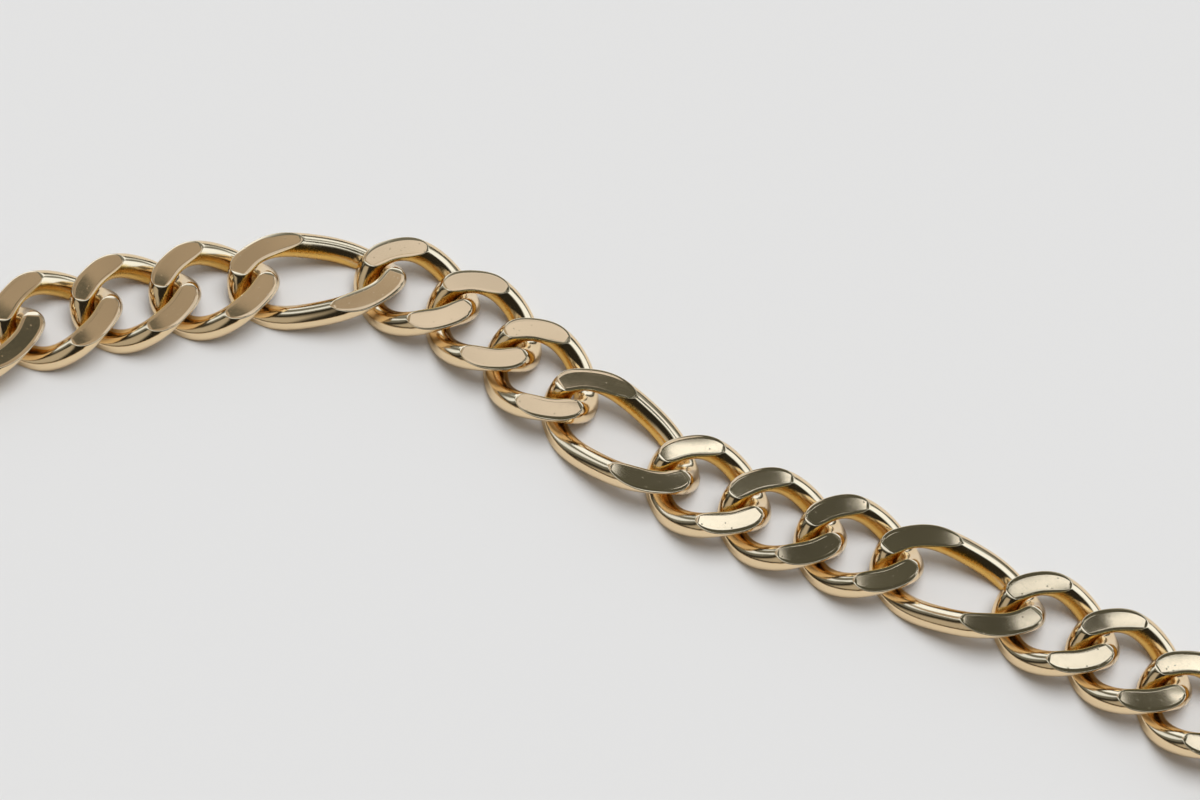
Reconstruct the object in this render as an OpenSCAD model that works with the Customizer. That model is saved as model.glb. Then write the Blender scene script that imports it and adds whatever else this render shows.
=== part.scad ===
// Link bracelet: a closed chain of twisted oval links lying flat, one long link
// after every three short ones, with a plain clasp piece that closes the loop.
// Sizes are in millimetres, +Z is up and the chain rests on z = 0.

/* [Chain] */
// Width of the chain across a short link
chain_width = 6; // [5.4:0.1:6.8]
// Thickness of a link between its two flat cut faces
link_thickness = 1.9; // [1.7:0.05:2.2]
// Diameter of the round wire that the links are bent from
wire_d = 1.4; // [1.2:0.05:1.5]
// Play between two neighbouring links when the chain is pulled straight
link_gap = 0.15; // [0.12:0.01:0.3]
// Number of long links in the bracelet
long_links = 10; // [8:1:12]
// Number of short links after each long one
short_run = 3; // [2:1:3]

/* [Short link] */
// Length of a short link over all
short_length = 7.4; // [7:0.1:8.2]
// Angle by which each end of a short link is twisted out of flat
short_twist = 45; // [40:1:50]
// Squareness of a short link's outline, where 2 is an ellipse
short_squareness = 2.2; // [2:0.1:2.6]

/* [Long link] */
// Length of a long link over all
long_length = 10.1; // [9:0.1:12]
// Width of a long link
long_width = 5.8; // [5.4:0.1:6.6]
// Angle by which each end of a long link is twisted out of flat
long_twist = 52; // [46:1:56]
// Squareness of a long link's outline, where 2 is an ellipse
long_squareness = 2.8; // [2.4:0.1:3.2]
// Share of a long link's twist that is held back for its ends
long_end_share = 0.55; // [0:0.05:0.7]

/* [Clasp] */
// Length of the clasp over both of its end loops
clasp_length = 18; // [16:0.5:20]
// Length of the clasp's solid body
clasp_body_length = 10; // [8:0.5:11]
// Width of the clasp's solid body
clasp_body_width = 5.4; // [4.8:0.1:6.4]
// Thickness of the clasp's solid body
clasp_body_thickness = 2.6; // [2.2:0.1:3]
// Bevel along the edges of the clasp's solid body
clasp_bevel = 0.5; // [0.2:0.1:0.8]

/* [Hidden] */
// Sides of the closed ring that a link's wire follows, and of the wire itself
ring_sides = 16;
wire_sides = 6;
// Sides of the clasp body's round ends
body_sides = 32;
// Margin by which a cutting block stands past what it cuts
cut_margin = 1;

// Route of the chain seen from above, which is scaled a little so that the links
// close it. It starts at the end of the clasp and runs clockwise. The stretch with
// the small hump, from x = -44 to x = 39, is the one seen from the front.
route = [
    [-9, -39.75], [-20, -38.25], [-30, -35.75], [-38, -32],
    [-43.75, -26.5], [-46, -20], [-44.75, -13.5], [-41, -8], [-35.75, -4],
    [-29.5, -0.5], [-21.5, 2.75], [-16.5, 4.5], [-11.75, 4.75], [-7.5, 3.25],
    [-3.75, 0.5], [0.75, -2.5], [6.25, -5], [10.75, -6.25], [15, -7],
    [21, -8.25], [26.5, -9.75], [33.5, -12.5], [39.25, -16.25],
    [43.25, -21.5], [44.5, -27.5], [42.75, -33.5], [38.25, -38.25],
    [31.5, -41.25], [22, -42], [12, -41.75], [1, -40.75]
];
// How far ahead the next joint is looked for, in route points
look_ahead = 3;
// Halvings in each search along the route and in the search for its scale
search_rounds = 24;
// Smallest and largest scale of the route that is tried
scale_limits = [0.4, 2.5];

link_count = long_links * (short_run + 1);
wire_r = wire_d / 2;
mid_z = link_thickness / 2;

function is_long(i) = i % (short_run + 1) == 0;

// Distance between the two joints of a piece, from its length over all
function reach_of(length) = length - 2 * wire_d - link_gap;
reaches = [
    for (i = [0:link_count - 1]) reach_of(is_long(i) ? long_length : short_length),
    reach_of(clasp_length)
];

// A smooth closed curve through the route's points
function route_point(t) =
    let (
        n = len(route),
        i = floor(t),
        f = t - i,
        before = route[(i + n - 1) % n],
        here = route[i % n],
        next = route[(i + 1) % n],
        after = route[(i + 2) % n]
    )
    here + 0.5 * f * (
        (next - before)
        + f * (2 * before - 5 * here + 4 * next - after)
        + f * f * (3 * here - before - 3 * next + after)
    );

// Place on the curve that lies one reach from the start, found by halving
function place_at(start, low, high, reach, rounds = search_rounds) =
    let (mid = (low + high) / 2)
    rounds < 1 ? mid
    : norm(route_point(mid) - start) < reach
        ? place_at(start, mid, high, reach, rounds - 1)
        : place_at(start, low, mid, reach, rounds - 1);

// Places of the joints along the curve when it is enlarged by a scale
function joint_places(size, i = 0, t = 0) =
    i == len(reaches) ? [t]
    : concat([t], joint_places(size, i + 1,
        place_at(route_point(t), t, t + look_ahead, reaches[i] / size)));

// Scale at which the last joint falls on the first
function closing_scale(low, high, rounds = search_rounds) =
    let (
        mid = (low + high) / 2,
        places = joint_places(mid)
    )
    rounds < 1 ? mid
    : places[len(reaches)] > len(route)
        ? closing_scale(mid, high, rounds - 1)
        : closing_scale(low, mid, rounds - 1);

route_scale = closing_scale(scale_limits[0], scale_limits[1]);
joints = [for (t = joint_places(route_scale)) route_scale * route_point(t)];

function centre_of(i) = (joints[i] + joints[i + 1]) / 2;
function heading_of(i) =
    let (d = joints[i + 1] - joints[i])
    atan2(d.y, d.x);

// Signed power, which squares off an ellipse
function square_off(v, squareness) = sign(v) * pow(abs(v), 2 / squareness);

// Centre line of a twisted oval ring at an angle around it
function ring_point(angle, half_length, half_width, twist, squareness, end_share) =
    let (
        x = half_length * square_off(cos(angle), squareness),
        y = half_width * square_off(sin(angle), squareness),
        along = x / half_length,
        tilt = -twist * ((1 + end_share) * along - end_share * sin(90 * along))
    )
    [x, y * cos(tilt), y * sin(tilt)];

// Corners of the wire along a ring, one row of wire_sides for each ring side.
// They lie on the round wire's surface, two of them at its sides.
function ring_corners(length, width, twist, squareness, end_share) =
    let (
        centres = [
            for (k = [0:ring_sides - 1])
            ring_point(360 * k / ring_sides, length / 2 - wire_r, width / 2 - wire_r,
                twist, squareness, end_share)
        ]
    )
    [
        for (k = [0:ring_sides - 1])
        let (
            chord = centres[(k + 1) % ring_sides] - centres[(k + ring_sides - 1) % ring_sides],
            forward = chord / norm(chord),
            sideways = cross([0, 0, 1], forward),
            side = sideways / norm(sideways),
            top = cross(forward, side)
        )
        for (m = [0:wire_sides - 1])
        let (turn = 360 * m / wire_sides)
        centres[k] + wire_r * (cos(turn) * side + sin(turn) * top)
    ];

// Four-cornered faces of the wire's skin, each split into two triangles
ring_faces = [
    for (k = [0:ring_sides - 1])
    for (m = [0:wire_sides - 1])
    let (
        a = k * wire_sides + m,
        b = k * wire_sides + (m + 1) % wire_sides,
        c = (k + 1) % ring_sides * wire_sides + (m + 1) % wire_sides,
        d = (k + 1) % ring_sides * wire_sides + m
    )
    each [[a, c, b], [a, d, c]]
];

short_corners = ring_corners(short_length, chain_width, short_twist, short_squareness, 0);
long_corners = ring_corners(long_length, long_width, long_twist, long_squareness, long_end_share);
// The clasp's end loops have a short link's twist on a long link's outline
clasp_corners = ring_corners(clasp_length, chain_width, short_twist, long_squareness, long_end_share);

// Corners of every piece where it lies, seen from above
function turned(p, angle) = [p.x * cos(angle) - p.y * sin(angle), p.x * sin(angle) + p.y * cos(angle)];
placed_corners = [
    for (i = [0:link_count])
    let (
        corners = i == link_count ? clasp_corners : is_long(i) ? long_corners : short_corners
    )
    for (p = corners) centre_of(i) + turned(p, heading_of(i))
];
all_x = [for (p = placed_corners) p.x];
all_y = [for (p = placed_corners) p.y];
// Middle of the bracelet seen from above, which becomes the origin
middle = [(min(all_x) + max(all_x)) / 2, (min(all_y) + max(all_y)) / 2];

function name_of(i) =
    let (
        row = floor(i / (short_run + 1)),
        place = i % (short_run + 1)
    )
    place == 0 ? str("long_link_", row + 1) : str("short_link_", row * short_run + place);

// Sets a piece down at its place in the loop
module lay(i) {
    translate([centre_of(i).x - middle.x, centre_of(i).y - middle.y, 0])
        rotate([0, 0, heading_of(i)])
            children();
}

// A twisted wire ring, cut flat on its top and on its underside
module cut_ring(corners, length, width) {
    intersection() {
        translate([0, 0, mid_z])
            polyhedron(points = corners, faces = ring_faces, convexity = 4);
        translate([-length / 2 - cut_margin, -width / 2 - cut_margin, 0])
            cube([length + 2 * cut_margin, width + 2 * cut_margin, link_thickness]);
    }
}

module link(i) {
    color("goldenrod")
        lay(i)
            if (is_long(i)) {
                cut_ring(long_corners, long_length, long_width);
            } else {
                cut_ring(short_corners, short_length, chain_width);
            }
}

// Outline of the clasp's body, pulled in by an inset
module clasp_outline(inset) {
    end_r = clasp_body_width / 2 - inset;
    end_x = clasp_body_length / 2 - clasp_body_width / 2;
    hull()
        for (side = [-1, 1])
            translate([side * end_x, 0])
                circle(r = end_r, $fn = body_sides);
}

module clasp_body() {
    hull() {
        linear_extrude(clasp_body_thickness)
            clasp_outline(clasp_bevel);
        translate([0, 0, clasp_bevel])
            linear_extrude(clasp_body_thickness - 2 * clasp_bevel)
                clasp_outline(0);
    }
}

module clasp() {
    color("goldenrod")
        lay(link_count)
            union() {
                cut_ring(clasp_corners, clasp_length, chain_width);
                clasp_body();
            }
}

for (i = [0:link_count - 1])
    link(i);
clasp();
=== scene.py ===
"""A link bracelet in polished pale gold: twisted wire links, cut flat, laid where their solids lie."""

from math import atan2, cos, pi, prod, radians, sin, sqrt

import bmesh
import bpy
import numpy
from mathutils import Matrix, Vector


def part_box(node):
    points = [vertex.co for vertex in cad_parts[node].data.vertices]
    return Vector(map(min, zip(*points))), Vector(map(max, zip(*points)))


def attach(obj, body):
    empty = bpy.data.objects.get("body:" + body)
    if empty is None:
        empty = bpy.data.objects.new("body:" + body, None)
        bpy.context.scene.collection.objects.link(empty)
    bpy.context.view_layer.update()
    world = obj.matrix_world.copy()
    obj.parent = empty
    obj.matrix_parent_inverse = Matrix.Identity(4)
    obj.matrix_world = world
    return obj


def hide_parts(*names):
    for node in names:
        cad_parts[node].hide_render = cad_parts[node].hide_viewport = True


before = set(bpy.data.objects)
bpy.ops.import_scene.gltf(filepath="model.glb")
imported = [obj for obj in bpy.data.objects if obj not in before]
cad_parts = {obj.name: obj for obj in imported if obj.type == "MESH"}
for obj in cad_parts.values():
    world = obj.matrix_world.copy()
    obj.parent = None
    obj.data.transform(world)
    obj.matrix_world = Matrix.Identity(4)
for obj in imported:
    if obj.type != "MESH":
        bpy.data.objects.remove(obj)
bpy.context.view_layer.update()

MM = 0.001

# Round wire of the links, the rounding that polishing leaves round a cut face, and the
# thickness of a link between its two cut faces
WIRE_D = 1.4 * MM
RIM_ROUND = 0.05 * MM
LINK_THICKNESS = 1.9 * MM

# How each kind of ring is bent: the twist of its ends in degrees, the squareness of
# its outline, and the share of the twist that is held back for its ends
RING_FORMS = {
    "short_link": {"twist": 45, "squareness": 2.2, "end_share": 0.0},
    "long_link": {"twist": 52, "squareness": 2.8, "end_share": 0.55},
    "clasp": {"twist": 45, "squareness": 2.8, "end_share": 0.55},
}

# Stations of the wire round a ring, and the finer steps in which they are evenly spaced
RING_STATIONS = 176
FINE_STEPS = 1440

# Steps of half a wire section: across a cut face, round its rim, and down the wire.
# The first two keep a least length where the wire isn't cut.
FACE_STEPS = 3
RIM_STEPS = 4
SIDE_STEPS = 10
LEAST_FACE = 0.10 * MM
LEAST_RIM = 0.07 * MM

# Bar of the clasp, and the angle from which an edge between its faces stays sharp
BAR_LENGTH = 10 * MM
BAR_WIDTH = 5.4 * MM
BAR_EDGE = 0.5 * MM
BAR_EDGE_STEPS = 6
BAR_CORNERS = 96
CREASE_ANGLE = radians(38)

# Distances within which corners count as one, on a solid in decimal places of a metre, on
# the seam of a ring and on the join of the clasp, and the most sides of a face beside that join
SAME_PLACE_DECIMALS = 7
SEAM_TOLERANCE = WIRE_D / 10000
JOIN_TOLERANCE = 0.001 * MM
MOST_SIDES = 4

# Upward part of a face's normal, and the distance below the top, at which it counts as cut flat
FLAT_LEVEL = 0.9995
TOP_TOLERANCE = 0.001 * MM

# Names of the shares that meshes carry for their finishes
INNER_SIDE = "inner_side"
GLOW = "glow"

# Gold as it mirrors white light, and a deeper amber painted on the worn inner sides of the links as a
# painted reflection of the gold that faces them
GOLD = (0.90, 0.69, 0.42, 1)
GOLD_PAINTED_AMBER = (0.80, 0.48, 0.12, 1)

# Unevenness of the finishes and of the light, with its waves to a metre or, in the studio, to a
# direction's own length
WIRE_CLOUD = {"scale": 420.0}
WIRE_GRAIN = {"scale": 5200.0, "detail": 3.0, "roughness": 0.65}
WIRE_SWELL = {"scale": 900.0, "detail": 1.0}
CUT_CLOUD = {"scale": 700.0}
CUT_GRAIN = {"scale": 4200.0, "detail": 3.0, "roughness": 0.6}
CUT_SWELL = {"scale": 300.0, "detail": 1.0}
CARD_CLOUD = {"scale": 60.0, "detail": 1.0}
STUDIO_CLOUD = {"scale": 3.0, "detail": 1.0}

# Where the wire is worn and painted a deeper amber, a painted reflection: how much the cloud counts
# beside the inner side, and the levels at which the wear and the painted amber start and are full
WEAR_AND_AMBER_CLOUD = 0.5
WEAR_AND_AMBER_STARTS = 0.72
WEAR_AND_AMBER_FULL = 1.05

# Roughness of the wire, what cloud, wear and grain add to it, and the heights of its relief
WIRE_ROUGHNESS = 0.085
WIRE_CLOUD_ROUGHNESS = 0.08
WORN_ROUGHNESS = 0.05
WORN_GRAIN_ROUGHNESS = 0.16
WIRE_SWELL_HEIGHT = 0.4
WORN_GRAIN_HEIGHT = 1.6

# The same of the cut faces, with the levels of their haze and the spread of their pits
CUT_ROUGHNESS = 0.03
CUT_CLOUD_ROUGHNESS = 0.02
HAZE_ROUGHNESS = 0.01
HAZE_STARTS = 0.45
HAZE_FULL = 0.75
PIT_ROUGHNESS = 0.09
PITS_PER_METRE = 2600.0
PIT_SIZE = 0.13
PIT_CORE = 0.5
CUT_SWELL_HEIGHT = 0.9
PIT_DEPTH = 0.12

# Strength of all relief, and the depth of its unit
RELIEF_STRENGTH = 0.25
RELIEF_DEPTH = 0.03 * MM

# Camera, as the picture was taken: the place on the floor in the middle of the picture, the
# angle above the floor, the roll, the distance and the lens
SENSOR_WIDTH = 36
LENS = 118.6
LOOK_AT = Vector((0.551, 18.786, 0)) * MM
ELEVATION = radians(61.057)
ROLL = radians(9.629)
DISTANCE = 221.6 * MM
NEAREST_SEEN = DISTANCE / 20
EYE = LOOK_AT + DISTANCE * Vector((0, -cos(ELEVATION), sin(ELEVATION)))

# Plain floor, given by half its side
FLOOR_SIZE = 2.0
FLOOR_PALE = (0.76, 0.76, 0.757, 1)
FLOOR_ROUGHNESS = 0.85

# Cards that hang over the chain and are mirrored by its cut faces. Each large card, and then
# each kind of the small ones, hangs a drop lower than what hangs before it.
CARD_HEIGHT = 200 * MM
CARD_DROP = 6 * MM
CARD_CORNERS = 48
CARD_SQUARENESS = 5
LEAST_GLOW = 0.5
DARK_TONE = (0.080, 0.089, 0.083)
WARM_TONE = (0.400, 0.364, 0.330)
PALE_TONE = (0.75, 0.775, 0.88)
BRIGHT_TONE = (1.28, 1.48, 1.86)

# The large cards: the first and the last link of the stretch that mirrors them, how far they
# go on before and after it, and half their breadth, as seen on the chain
BACKDROPS = [
    ("dark_backdrop", DARK_TONE, "short_link_13", "long_link_8", 3 * MM, 30 * MM, 22 * MM),
    ("warm_backdrop", WARM_TONE, "long_link_4", "short_link_12", 30 * MM, 4 * MM, 22 * MM),
    ("pale_backdrop", PALE_TONE, "short_link_13", "short_link_15", 4 * MM, 3 * MM, 16 * MM),
]
BACKDROP_EDGE = 1.5 * MM

# The small cards: the cut face that mirrors them, then their length and breadth and their
# shifts along and across, as shares of that face's own
WHOLE_FACE = (1.50, 1.50, 0.0, 0.0)
WIDE_ROUND_FACE = (1.60, 1.60, 0.0, 0.0)
FACE_AND_RIGHTWARD = (1.50, 1.50, 0.25, 0.0)
RIGHT_END = (0.70, 0.70, 1.20, 0.0)
RIGHT_TIP = (0.38, 1.20, 1.10, -0.10)
SHORT_LEFT_TIP = (0.20, 0.90, -1.05, 0.0)
LONG_LEFT_TIP = (0.17, 0.90, -1.05, 0.0)
FACE_CARDS = [
    ("dark", DARK_TONE, [
        ("long_link_4", "near", 1.40, 1.40, 0.0, 0.0),
        ("short_link_10", "far", 0.32, 1.30, -1.00, 0.0),
        ("short_link_11", "far", 0.52, 1.30, -0.82, 0.0),
        ("short_link_12", "far", 0.36, 1.30, -0.98, 0.0),
        ("short_link_10", "near", 0.42, 1.30, -0.92, 0.0),
        ("short_link_11", "near", 0.30, 1.30, -1.00, 0.0),
        ("short_link_12", "near", 0.36, 1.30, -0.98, 0.0),
        ("long_link_6", "far", *WHOLE_FACE),
        ("long_link_6", "near", *WHOLE_FACE),
    ]),
    ("warm", WARM_TONE, [
        ("long_link_5", "far", *WHOLE_FACE),
        ("long_link_5", "near", *WHOLE_FACE),
    ]),
    ("pale", PALE_TONE, [
        ("short_link_13", "far", 1.50, 1.50, 0.25, 0.45),
        ("short_link_14", "near", *WIDE_ROUND_FACE),
        ("short_link_15", "far", *WIDE_ROUND_FACE),
        ("short_link_15", "near", *WIDE_ROUND_FACE),
    ]),
    ("bright", BRIGHT_TONE, [
        ("short_link_16", "far", 1.10, 1.10, 0.24, -0.10),
        ("short_link_16", "near", 1.70, 1.70, 0.0, 0.0),
        ("short_link_19", "far", 1.20, 1.20, 0.20, -0.08),
        ("short_link_19", "near", *FACE_AND_RIGHTWARD),
        ("short_link_20", "far", 1.20, 1.20, 0.95, 0.0),
        ("short_link_21", "far", 1.20, 1.20, 0.20, -0.12),
        ("short_link_21", "near", *FACE_AND_RIGHTWARD),
        ("long_link_7", "near", *RIGHT_END),
        ("short_link_20", "near", *RIGHT_END),
        ("short_link_17", "far", *RIGHT_TIP),
        ("short_link_18", "far", *RIGHT_TIP),
        ("long_link_7", "far", *RIGHT_TIP),
        ("short_link_17", "near", *SHORT_LEFT_TIP),
        ("short_link_18", "near", *SHORT_LEFT_TIP),
        ("long_link_6", "near", *LONG_LEFT_TIP),
        ("long_link_7", "near", *LONG_LEFT_TIP),
        ("short_link_20", "near", *SHORT_LEFT_TIP),
    ]),
]
FACE_CARD_EDGE = 0.20 * MM

# Tones of the studio that the gold mirrors, and of the soft light on everything else
STUDIO_BRIGHT = (1.08, 1.30, 1.70, 1)
STUDIO_DIM = (0.17, 0.19, 0.20, 1)
STUDIO_FRONT = (0.46, 0.45, 0.42, 1)
STUDIO_DARK = (0.022, 0.021, 0.017, 1)
SOFT_BACK = (0.62, 0.625, 0.63, 1)
SOFT_FRONT = (0.25, 0.22, 0.19, 1)

# Zones of the studio, bounded by how far a direction goes to the right, to the back and up.
# Along each axis a zone is empty at the first level and full at the second.
RIGHT = "X"
BACK = "Y"
UP = "Z"
BRIGHT_ZONES = {
    "left": [(RIGHT, -0.09, -0.19), (RIGHT, -0.54, -0.42), (BACK, 0.12, 0.26)],
    "right": [(RIGHT, 0.04, 0.12), (BACK, 0.62, 0.50), (BACK, -0.14, 0.04)],
    "low_back": [(BACK, 0.62, 0.74), (UP, 0.22, 0.32), (UP, 0.68, 0.52), (RIGHT, 0.60, 0.45)],
    "overhead": [(BACK, 0.05, 0.12), (BACK, 0.40, 0.30)],
}
OVERHEAD_SHARE = 0.75
OPEN_FRONT = [(BACK, -0.30, -0.50), (UP, 0.95, 0.60), (UP, 0.10, 0.18), (RIGHT, -0.12, -0.38)]
OFF_THE_FLOOR = [(UP, 0.10, 0.20)]
DARK_FRONT = [(BACK, -0.05, -0.25)]
DARK_LOW = [(UP, 0.16, 0.10)]
SOFT_TURN = [(BACK, 0.30, -0.40)]
LEAST_STUDIO_LIGHT = 0.72
STUDIO_LIGHT_SWING = 0.56

# Key light: broad and soft, steep from behind and a little from the right, and not mirrored itself
KEY_STRENGTH = 1.9
KEY_SPREAD = radians(44)
KEY_TONE = (0.985, 1.0, 1.015)
KEY_LEAN = radians(17)
KEY_TURN = radians(150)


def lie_of(node):
    """Place, heading and size of a solid that is alike on both sides and at both ends."""
    corners = {
        tuple(round(c, SAME_PLACE_DECIMALS) for c in v.co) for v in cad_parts[node].data.vertices
    }
    points = numpy.array(sorted(corners))
    low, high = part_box(node)
    centre = points.mean(axis=0)
    spread = numpy.cov((points - centre)[:, :2].T)
    heading = 0.5 * atan2(2 * spread[0, 1], spread[0, 0] - spread[1, 1])
    place = Matrix.Translation((centre[0], centre[1], low.z)) @ Matrix.Rotation(heading, 4, "Z")
    inward = place.inverted()
    own = numpy.array([inward @ Vector(p) for p in points])
    size = own.max(axis=0) - own.min(axis=0)
    return {"place": place, "length": size[0], "width": size[1], "height": size[2]}


def ring_line(form, length, width):
    """Evenly spaced places along the middle of a bent ring, whose own middle is at zero."""
    half_length = (length - WIRE_D) / 2
    half_width = (width - WIRE_D) / 2
    held = form["end_share"]

    def squared(share):
        """Signed power of a share, which squares off an ellipse."""
        return abs(share) ** (2 / form["squareness"]) * (1 if share > 0 else -1)

    def place_at(turn):
        """Place on the line at an angle round the ring."""
        along = squared(cos(turn))
        across = half_width * squared(sin(turn))
        tilt = -radians(form["twist"]) * ((1 + held) * along - held * sin(pi / 2 * along))
        return Vector((half_length * along, across * cos(tilt), across * sin(tilt)))

    fine = [place_at(2 * pi * k / FINE_STEPS) for k in range(FINE_STEPS + 1)]
    walked = [0.0]
    for here, after in zip(fine, fine[1:]):
        walked.append(walked[-1] + (after - here).length)
    stops = numpy.linspace(0, walked[-1], RING_STATIONS, endpoint=False)
    columns = [numpy.interp(stops, walked, [p[axis] for p in fine]) for axis in range(3)]
    return [Vector(p) for p in zip(*columns)]


def half_section(top, bottom):
    """Half of a wire's section, from the middle of its top round its right side to its underside.

    The round wire is cut flat at the heights top and bottom over its middle, where it reaches
    them, and the rims of the cuts are rounded.
    """
    radius = WIRE_D / 2

    def cut(height):
        """Half width of a cut face, and the angle at which its rim runs into the wire."""
        if height >= radius:
            return 0.0, pi / 2
        reach = sqrt((radius - RIM_ROUND) ** 2 - (height - RIM_ROUND) ** 2)
        return reach, atan2(height - RIM_ROUND, reach)

    face_up, meet_up = cut(top)
    face_down, meet_down = cut(-bottom)
    rim_up = RIM_ROUND * (pi / 2 - meet_up)
    rim_down = RIM_ROUND * (pi / 2 - meet_down)
    side = radius * (meet_up + meet_down)
    whole = face_up + rim_up + side + rim_down + face_down

    def point_at(walked):
        """Point of the section at a distance walked from the middle of its top."""
        if walked <= face_up:
            return walked, min(top, radius)
        walked -= face_up
        if walked <= rim_up:
            angle = pi / 2 - walked / RIM_ROUND
            return face_up + RIM_ROUND * cos(angle), top - RIM_ROUND + RIM_ROUND * sin(angle)
        walked -= rim_up
        if walked <= side:
            angle = meet_up - walked / radius
            return radius * cos(angle), radius * sin(angle)
        walked -= side
        if walked < rim_down:
            angle = -meet_down - walked / RIM_ROUND
            return face_down + RIM_ROUND * cos(angle), bottom + RIM_ROUND + RIM_ROUND * sin(angle)
        walked -= rim_down
        return max(face_down - walked, 0.0), max(bottom, -radius)

    face_end = max(face_up, LEAST_FACE)
    rim_end = max(face_up + rim_up, face_end + LEAST_RIM)
    low_face = whole - max(face_down, LEAST_FACE)
    low_rim = min(whole - face_down - rim_down, low_face - LEAST_RIM)
    walks = [
        *numpy.linspace(0, face_end, FACE_STEPS, endpoint=False),
        *numpy.linspace(face_end, rim_end, RIM_STEPS, endpoint=False),
        *numpy.linspace(rim_end, low_rim, SIDE_STEPS, endpoint=False),
        *numpy.linspace(low_rim, low_face, RIM_STEPS, endpoint=False),
        *numpy.linspace(low_face, whole, FACE_STEPS + 1),
    ]
    return [point_at(w) for w in walks]


def wire_section(centre, forward, half_height):
    """Corners of the wire's section where the middle line of a ring goes forward."""
    side = Vector((0, 0, 1)).cross(forward).normalized()
    top = forward.cross(side)
    right = half_section((half_height - centre.z) / top.z, (-half_height - centre.z) / top.z)
    left = [(-x, y) for x, y in reversed(right[1:-1])]
    return [centre + side * x + top * y for x, y in right + left]


def inward_share(spot, centre):
    """How far a corner of the wire lies on the side that faces the hole of its ring, from 0 to 1."""
    outward = Vector((centre.x, centre.y, 0))
    return min(1.0, max(0.0, (centre - spot).dot(outward.normalized()) / (WIRE_D / 2)))


def extruded_row(shape, row, edges):
    """Extrudes a closed row of corners. Returns the new row, in the same order, and its edges."""
    made = bmesh.ops.extrude_edge_only(shape, edges=edges)["geom"]
    rims = [g for g in made if isinstance(g, bmesh.types.BMEdge) and len(g.link_faces) == 1]
    fresh = {v for e in rims for v in e.verts}
    across = [next(v for e in old.link_edges if (v := e.other_vert(old)) in fresh) for old in row]
    return across, rims


def bent_ring(form, length, width, height):
    """A ring of round wire, bent, twisted, and cut flat above and below. It stands on zero."""
    ring = bmesh.new()
    line = ring_line(form, length, width)
    corners = 4 * (FACE_STEPS + RIM_STEPS) + 2 * SIDE_STEPS
    inner = ring.verts.layers.float.new(INNER_SIDE)
    row = bmesh.ops.create_circle(ring, segments=corners, radius=WIRE_D / 2)["verts"]
    edges = ring.edges[:]
    for k in range(RING_STATIONS + 1):
        if k:
            row, edges = extruded_row(ring, row, edges)
        centre = line[k % RING_STATIONS]
        forward = (line[(k + 1) % RING_STATIONS] - line[(k - 1) % RING_STATIONS]).normalized()
        for vert, spot in zip(row, wire_section(centre, forward, height / 2)):
            vert.co = spot + Vector((0, 0, height / 2))
            vert[inner] = inward_share(spot, centre)
    bmesh.ops.remove_doubles(ring, verts=ring.verts, dist=SEAM_TOLERANCE)
    bmesh.ops.recalc_face_normals(ring, faces=ring.faces)
    return ring


def mesh_of(name, shape, materials):
    """Turns a shape into a mesh with its materials."""
    mesh = bpy.data.meshes.new(name)
    shape.to_mesh(mesh)
    shape.free()
    for material in materials:
        mesh.materials.append(material)
    return mesh


def set_out(name, data):
    """Sets out an object in the scene."""
    thing = bpy.data.objects.new(name, data)
    bpy.context.scene.collection.objects.link(thing)
    return thing


def finished(name, shape, place, materials):
    """Makes a piece of a shape, with its place in its mesh. Flat cut faces take the second material."""
    bmesh.ops.transform(shape, matrix=place, verts=shape.verts)
    shape.normal_update()
    for face in shape.faces:
        face.smooth = True
        face.material_index = 1 if abs(face.normal.z) > FLAT_LEVEL else 0
    return set_out(name, mesh_of(name, shape, materials))


def clasp_bar(height):
    """A flat bar with round ends and softened edges."""
    bar = bmesh.new()
    bmesh.ops.create_circle(bar, cap_ends=True, segments=BAR_CORNERS, radius=BAR_WIDTH / 2)
    for end in (-1, 1):
        half = [v for v in bar.verts if end * v.co.x > 0]
        bmesh.ops.translate(bar, verts=half, vec=(end * (BAR_LENGTH - BAR_WIDTH) / 2, 0, 0))
    raised = bmesh.ops.extrude_face_region(bar, geom=bar.faces[:])["geom"]
    roof = [g for g in raised if isinstance(g, bmesh.types.BMVert)]
    bmesh.ops.translate(bar, verts=roof, vec=(0, 0, height))
    bmesh.ops.recalc_face_normals(bar, faces=bar.faces)
    rims = [e for e in bar.edges if any(abs(f.normal.z) > FLAT_LEVEL for f in e.link_faces)]
    bmesh.ops.bevel(bar, geom=rims, offset=BAR_EDGE, segments=BAR_EDGE_STEPS, affect="EDGES",
                    profile=0.5, material=-1)
    return bar


def joined_mesh(piece, other):
    """Mesh of a piece joined to another, without the slivers that a join leaves along its seam."""
    join = piece.modifiers.new("join", "BOOLEAN")
    join.operation = "UNION"
    join.solver = "MANIFOLD"
    join.object = other
    bpy.context.view_layer.update()
    evaluated = piece.evaluated_get(bpy.context.evaluated_depsgraph_get())
    joined = bpy.data.meshes.new_from_object(evaluated)
    piece.modifiers.clear()
    seam = bmesh.new()
    seam.from_mesh(joined)
    bmesh.ops.remove_doubles(seam, verts=seam.verts, dist=JOIN_TOLERANCE)
    bmesh.ops.dissolve_degenerate(seam, edges=seam.edges, dist=JOIN_TOLERANCE)
    many_sided = [f for f in seam.faces if len(f.verts) > MOST_SIDES]
    bmesh.ops.triangulate(seam, faces=many_sided)
    seam.to_mesh(joined)
    seam.free()
    return joined


def make_clasp(node, materials):
    """The plain clasp: a bar joined to a drawn-out ring, whose ends are the loops for the links."""
    lie = lie_of(node)
    ring = bent_ring(RING_FORMS["clasp"], lie["length"], lie["width"], LINK_THICKNESS)
    piece = finished("polished_" + node, ring, lie["place"], materials)
    bar = finished("clasp_bar", clasp_bar(lie["height"]), lie["place"], materials)
    piece.data = joined_mesh(piece, bar)
    piece.data.set_sharp_from_angle(angle=CREASE_ANGLE)
    bpy.data.objects.remove(bar)
    return piece


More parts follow.
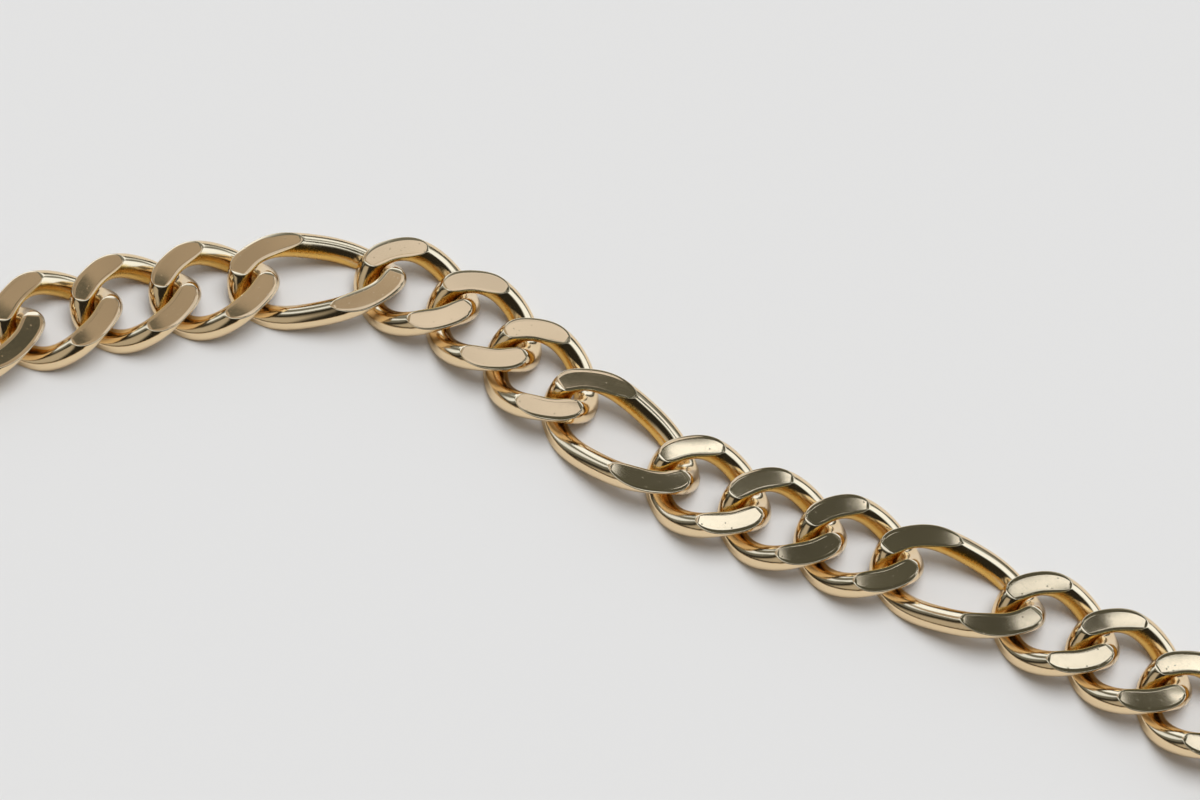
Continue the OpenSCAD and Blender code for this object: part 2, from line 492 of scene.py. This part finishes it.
def lay_chain(materials):
    """A polished piece for every solid of the chain and for the clasp."""
    rings = {}
    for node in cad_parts:
        kind = node.rstrip("0123456789").rstrip("_")
        if kind == "clasp":
            piece = make_clasp(node, materials)
        else:
            lie = lie_of(node)
            if kind not in rings:
                rings[kind] = bent_ring(RING_FORMS[kind], lie["length"], lie["width"], lie["height"])
            piece = finished("polished_" + node, rings[kind].copy(), lie["place"], materials)
        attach(piece, "root")
        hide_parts(node)


class Sum:
    """A socket that can stand in an expression, which adds the nodes that work it out."""

    def __init__(self, book, socket):
        self.book = book
        self.socket = socket

    def __add__(self, other):
        return self.book.maths("ADD", self, other)

    def __radd__(self, other):
        return self.book.maths("ADD", other, self)

    def __sub__(self, other):
        return self.book.maths("SUBTRACT", self, other)

    def __rsub__(self, other):
        return self.book.maths("SUBTRACT", other, self)

    def __mul__(self, other):
        return self.book.maths("MULTIPLY", self, other)

    def __rmul__(self, other):
        return self.book.maths("MULTIPLY", other, self)


class NodeBook:
    """The nodes of one material, or of the studio's surroundings."""

    def __init__(self, owner):
        owner.use_nodes = True
        self.tree = owner.node_tree
        self.tree.nodes.clear()

    def node(self, kind, settings=None, **inputs):
        """Adds a node: its settings first, then the values or links of its sockets. Returns its outputs.

        A socket is given by its name, with _ for a space, or by _ and its number.
        """
        made = self.tree.nodes.new(kind)
        for key, value in (settings or {}).items():
            setattr(made, key, value)
        for key, value in inputs.items():
            name = key.strip("_").replace("_", " ")
            socket = made.inputs[int(name) if name.isdigit() else name]
            if isinstance(value, Sum):
                self.tree.links.new(value.socket, socket)
            else:
                socket.default_value = value
        return {o.name: Sum(self, o) for o in made.outputs if o.enabled}

    def maths(self, operation, *values):
        """The result of an operation on values and sockets."""
        sockets = {f"_{k}": v for k, v in enumerate(values)}
        return self.node("ShaderNodeMath", {"operation": operation}, **sockets)["Value"]

    def step(self, value, low, high):
        """A soft step from zero at low to one at high, either way round."""
        settings = {"interpolation_type": "SMOOTHSTEP"}
        return self.node("ShaderNodeMapRange", settings, Value=value, From_Min=low, From_Max=high)["Result"]

    def blend(self, share, first, second):
        """A colour between two others."""
        settings = {"data_type": "RGBA"}
        return self.node("ShaderNodeMix", settings, _0=share, _6=first, _7=second)["Result"]

    def object_spots(self):
        """Places on a piece, in metres."""
        return self.node("ShaderNodeTexCoord")["Object"]

    def attribute(self, name):
        """A share that the mesh carries."""
        return self.node("ShaderNodeAttribute", {"attribute_name": name})["Fac"]

    def noise(self, spots, scale, detail=2.0, roughness=0.5):
        """Uneven shares from 0 to 1, with as many waves to a unit of length as the scale says."""
        return self.node("ShaderNodeTexNoise", Vector=spots, Scale=scale, Detail=detail,
                         Roughness=roughness)["Fac"]

    def specks(self, spots, per_metre, size):
        """Small round specks, one where the surface comes near the middle of a cell."""
        cell = self.node("ShaderNodeTexVoronoi", Vector=spots, Scale=per_metre)
        return self.step(cell["Distance"], size, size * PIT_CORE)

    def metal(self, color, roughness, height):
        """Ends a material as metal with a fine relief."""
        relief = self.node("ShaderNodeBump", Strength=RELIEF_STRENGTH, Distance=RELIEF_DEPTH,
                           Height=height)["Normal"]
        shader = self.node("ShaderNodeBsdfPrincipled", Base_Color=color, Metallic=1.0,
                           Roughness=roughness, Normal=relief)
        self.node("ShaderNodeOutputMaterial", Surface=shader["BSDF"])


def wire_gold_material():
    """Polished wire, with a rougher side that faces the hole of its link, painted a deeper amber as a
    painted reflection of the gold around it.
    """
    material = bpy.data.materials.new("polished_gold")
    book = NodeBook(material)
    spots = book.object_spots()
    inner = book.attribute(INNER_SIDE)
    cloud = book.noise(spots, **WIRE_CLOUD)
    grain = book.noise(spots, **WIRE_GRAIN)
    swell = book.noise(spots, **WIRE_SWELL)
    wear_and_painted_amber = book.step(inner + WEAR_AND_AMBER_CLOUD * cloud, WEAR_AND_AMBER_STARTS, WEAR_AND_AMBER_FULL)
    worn_roughness = wear_and_painted_amber * (WORN_ROUGHNESS + WORN_GRAIN_ROUGHNESS * grain)
    roughness = WIRE_ROUGHNESS + WIRE_CLOUD_ROUGHNESS * cloud + worn_roughness
    height = swell * WIRE_SWELL_HEIGHT + WORN_GRAIN_HEIGHT * wear_and_painted_amber * grain
    # Painted reflection: the inner side takes a deeper amber for the gold that it mirrors, beside its real
    # wear
    book.metal(book.blend(wear_and_painted_amber, GOLD, GOLD_PAINTED_AMBER), roughness, height)
    return material


def cut_gold_material():
    """Flat cut faces, nearly a mirror, with tiny pits and a slow swell left by the polishing."""
    material = bpy.data.materials.new("cut_gold")
    book = NodeBook(material)
    spots = book.object_spots()
    cloud = book.noise(spots, **CUT_CLOUD)
    haze = book.step(book.noise(spots, **CUT_GRAIN), HAZE_STARTS, HAZE_FULL)
    swell = book.noise(spots, **CUT_SWELL)
    pits = book.specks(spots, PITS_PER_METRE, PIT_SIZE)
    roughness = CUT_ROUGHNESS + CUT_CLOUD_ROUGHNESS * cloud + HAZE_ROUGHNESS * haze + PIT_ROUGHNESS * pits
    height = swell * CUT_SWELL_HEIGHT - PIT_DEPTH * pits
    book.metal(GOLD, roughness, height)
    return material


def place_camera():
    """Looks at the chain from where the picture was taken, and shows its tones plainly."""
    bpy.context.scene.view_settings.view_transform = "Standard"
    camera = set_out("camera", bpy.data.cameras.new("camera"))
    camera.data.lens = LENS
    camera.data.sensor_width = SENSOR_WIDTH
    camera.data.clip_start = NEAREST_SEEN
    turned = Matrix.Rotation(pi / 2 - ELEVATION, 4, "X") @ Matrix.Rotation(ROLL, 4, "Z")
    camera.matrix_world = Matrix.Translation(EYE) @ turned
    bpy.context.scene.camera = camera


def lay_floor():
    """A plain pale floor under the chain."""
    material = bpy.data.materials.new("pale_floor")
    book = NodeBook(material)
    shader = book.node("ShaderNodeBsdfPrincipled", Base_Color=FLOOR_PALE, Roughness=FLOOR_ROUGHNESS)
    book.node("ShaderNodeOutputMaterial", Surface=shader["BSDF"])
    shape = bmesh.new()
    bmesh.ops.create_grid(shape, x_segments=1, y_segments=1, size=FLOOR_SIZE)
    set_out("floor", mesh_of("floor", shape, [material]))


def mirrored(spot, height):
    """Place at a height that a level mirror at a spot shows to the camera."""
    away = spot - EYE
    away.z = -away.z
    return spot + away * ((height - spot.z) / away.z)


def face_lie(node, side):
    """Lie of a cut face on top of a link, on its near or far side.

    Returns its middle, its directions along and across, its half length and its half breadth.
    Each half is worked out as for a rectangle, where its square is three times the points' spread.
    """
    mesh = bpy.data.objects["polished_" + node].data
    top = max(v.co.z for v in mesh.vertices)
    own = lie_of(node)["place"].inverted()
    spots = [p.center for p in mesh.polygons if p.center.z > top - TOP_TOLERANCE]
    points = numpy.array([s for s in spots if ((own @ s).y > 0) == (side == "far")])
    centre = points.mean(axis=0)
    spread, axes = numpy.linalg.eigh(numpy.cov((points - centre)[:, :2].T))
    along = Vector((*axes[:, 1], 0))
    if along.x < 0:
        along.negate()
    across = Vector((-along.y, along.x, 0))
    return Vector(centre), along, across, sqrt(3 * spread[1]), sqrt(3 * spread[0])


def rounded_outline(middle, along, across, half_length, half_breadth):
    """Corners of a rounded rectangle."""
    outline = []
    for n in range(CARD_CORNERS):
        turn = 2 * pi * (n + 0.5) / CARD_CORNERS
        x, y = cos(turn), sin(turn)
        reach = (abs(x) ** CARD_SQUARENESS + abs(y) ** CARD_SQUARENESS) ** (-1 / CARD_SQUARENESS)
        outline.append(middle + reach * (half_length * x * along + half_breadth * y * across))
    return outline


def card_shape(outline, edge, height):
    """A level card that fills a mirror of this outline. Its light is full within its edge."""
    shape = bmesh.new()
    glow = shape.verts.layers.float.new(GLOW)
    spots = bmesh.ops.create_circle(shape, segments=len(outline), radius=1.0, cap_ends=True)["verts"]
    for vert, spot in zip(spots, outline):
        vert.co = mirrored(spot, height)
    shape.normal_update()
    bmesh.ops.inset_region(shape, faces=shape.faces[:], thickness=edge, use_even_offset=True)
    whole = max(shape.faces, key=lambda f: len(f.verts))
    for vert in shape.verts:
        vert[glow] = 1.0 if vert in whole.verts else 0.0
    return shape


def card_material(name, tone):
    """Uneven light of a card, which turns clear towards its rim."""
    material = bpy.data.materials.new(name)
    book = NodeBook(material)
    share = book.step(book.attribute(GLOW), 0.0, 1.0)
    strength = LEAST_GLOW + book.noise(book.object_spots(), **CARD_CLOUD)
    light = book.node("ShaderNodeEmission", Color=(*tone, 1), Strength=strength)["Emission"]
    clear = book.node("ShaderNodeBsdfTransparent")["BSDF"]
    mixed = book.node("ShaderNodeMixShader", _0=share, _1=clear, _2=light)["Shader"]
    book.node("ShaderNodeOutputMaterial", Surface=mixed)
    return material


def hang_card(name, tone, outline, edge, height):
    """Hangs a shining card, which only mirrors show."""
    shape = card_shape(outline, edge, height)
    card = set_out(name, mesh_of(name, shape, [card_material(name, tone)]))
    card.visible_camera = False
    card.visible_shadow = False
    card.visible_diffuse = False


def hang_cards():
    """Hangs all the cards that the chain mirrors, the large ones above the small ones."""
    height = CARD_HEIGHT
    for name, tone, first, last, before, after, half_breadth in BACKDROPS:
        start = lie_of(first)["place"].translation
        end = lie_of(last)["place"].translation
        along = (end - start).normalized()
        across = Vector((-along.y, along.x, 0))
        start = start - before * along
        end = end + after * along
        half_length = (end - start).length / 2
        outline = rounded_outline((start + end) / 2, along, across, half_length, half_breadth)
        hang_card(name, tone, outline, BACKDROP_EDGE, height)
        height -= CARD_DROP
    for kind, tone, faces in FACE_CARDS:
        for node, side, long, broad, ahead, aside in faces:
            centre, along, across, half_length, half_breadth = face_lie(node, side)
            centre = centre + ahead * half_length * along + aside * half_breadth * across
            outline = rounded_outline(centre, along, across, long * half_length, broad * half_breadth)
            hang_card(f"{kind}_card_{node}_{side}", tone, outline, FACE_CARD_EDGE, height)
        height -= CARD_DROP


def light_room():
    """Surrounds the chain with a studio that only mirrors show, and with soft light for the rest."""
    world = bpy.data.worlds.new("studio")
    bpy.context.scene.world = world
    book = NodeBook(world)
    facing = book.node("ShaderNodeTexCoord")["Generated"]
    axes = book.node("ShaderNodeSeparateXYZ", Vector=facing)

    def zone(bounds):
        """Share of a zone that a direction lies in."""
        return prod(book.step(axes[axis], empty, full) for axis, empty, full in bounds)

    def at_most_one(value):
        """A value that is held at one."""
        return book.maths("MINIMUM", value, 1.0)

    uneven = LEAST_STUDIO_LIGHT + STUDIO_LIGHT_SWING * book.noise(facing, **STUDIO_CLOUD)
    sides = zone(BRIGHT_ZONES["left"]) + zone(BRIGHT_ZONES["right"])
    overhead = OVERHEAD_SHARE * zone(BRIGHT_ZONES["overhead"])
    lit = at_most_one(sides + zone(BRIGHT_ZONES["low_back"]) + overhead) * zone(OFF_THE_FLOOR)
    dark = at_most_one(zone(DARK_FRONT) + zone(DARK_LOW))
    shade = book.blend(dark, STUDIO_DIM, STUDIO_DARK)
    shade = book.blend(zone(OPEN_FRONT) * uneven, shade, STUDIO_FRONT)
    mirrored_room = book.blend(lit * uneven, shade, STUDIO_BRIGHT)
    soft_room = book.blend(zone(SOFT_TURN), SOFT_BACK, SOFT_FRONT)
    glossy = book.node("ShaderNodeLightPath")["Is Glossy Ray"]
    light = book.node("ShaderNodeBackground", Color=book.blend(glossy, soft_room, mirrored_room))
    book.node("ShaderNodeOutputWorld", Surface=light["Background"])


def hang_key_light():
    """A soft light that gives the chain its shadow on the floor."""
    sun = bpy.data.lights.new("key_light", "SUN")
    sun.energy = KEY_STRENGTH
    sun.angle = KEY_SPREAD
    sun.color = KEY_TONE
    lamp = set_out("key_light", sun)
    lamp.rotation_euler = (KEY_LEAN, 0, KEY_TURN)
    lamp.visible_glossy = False


place_camera()
lay_chain([wire_gold_material(), cut_gold_material()])
lay_floor()
hang_cards()
light_room()
hang_key_light()
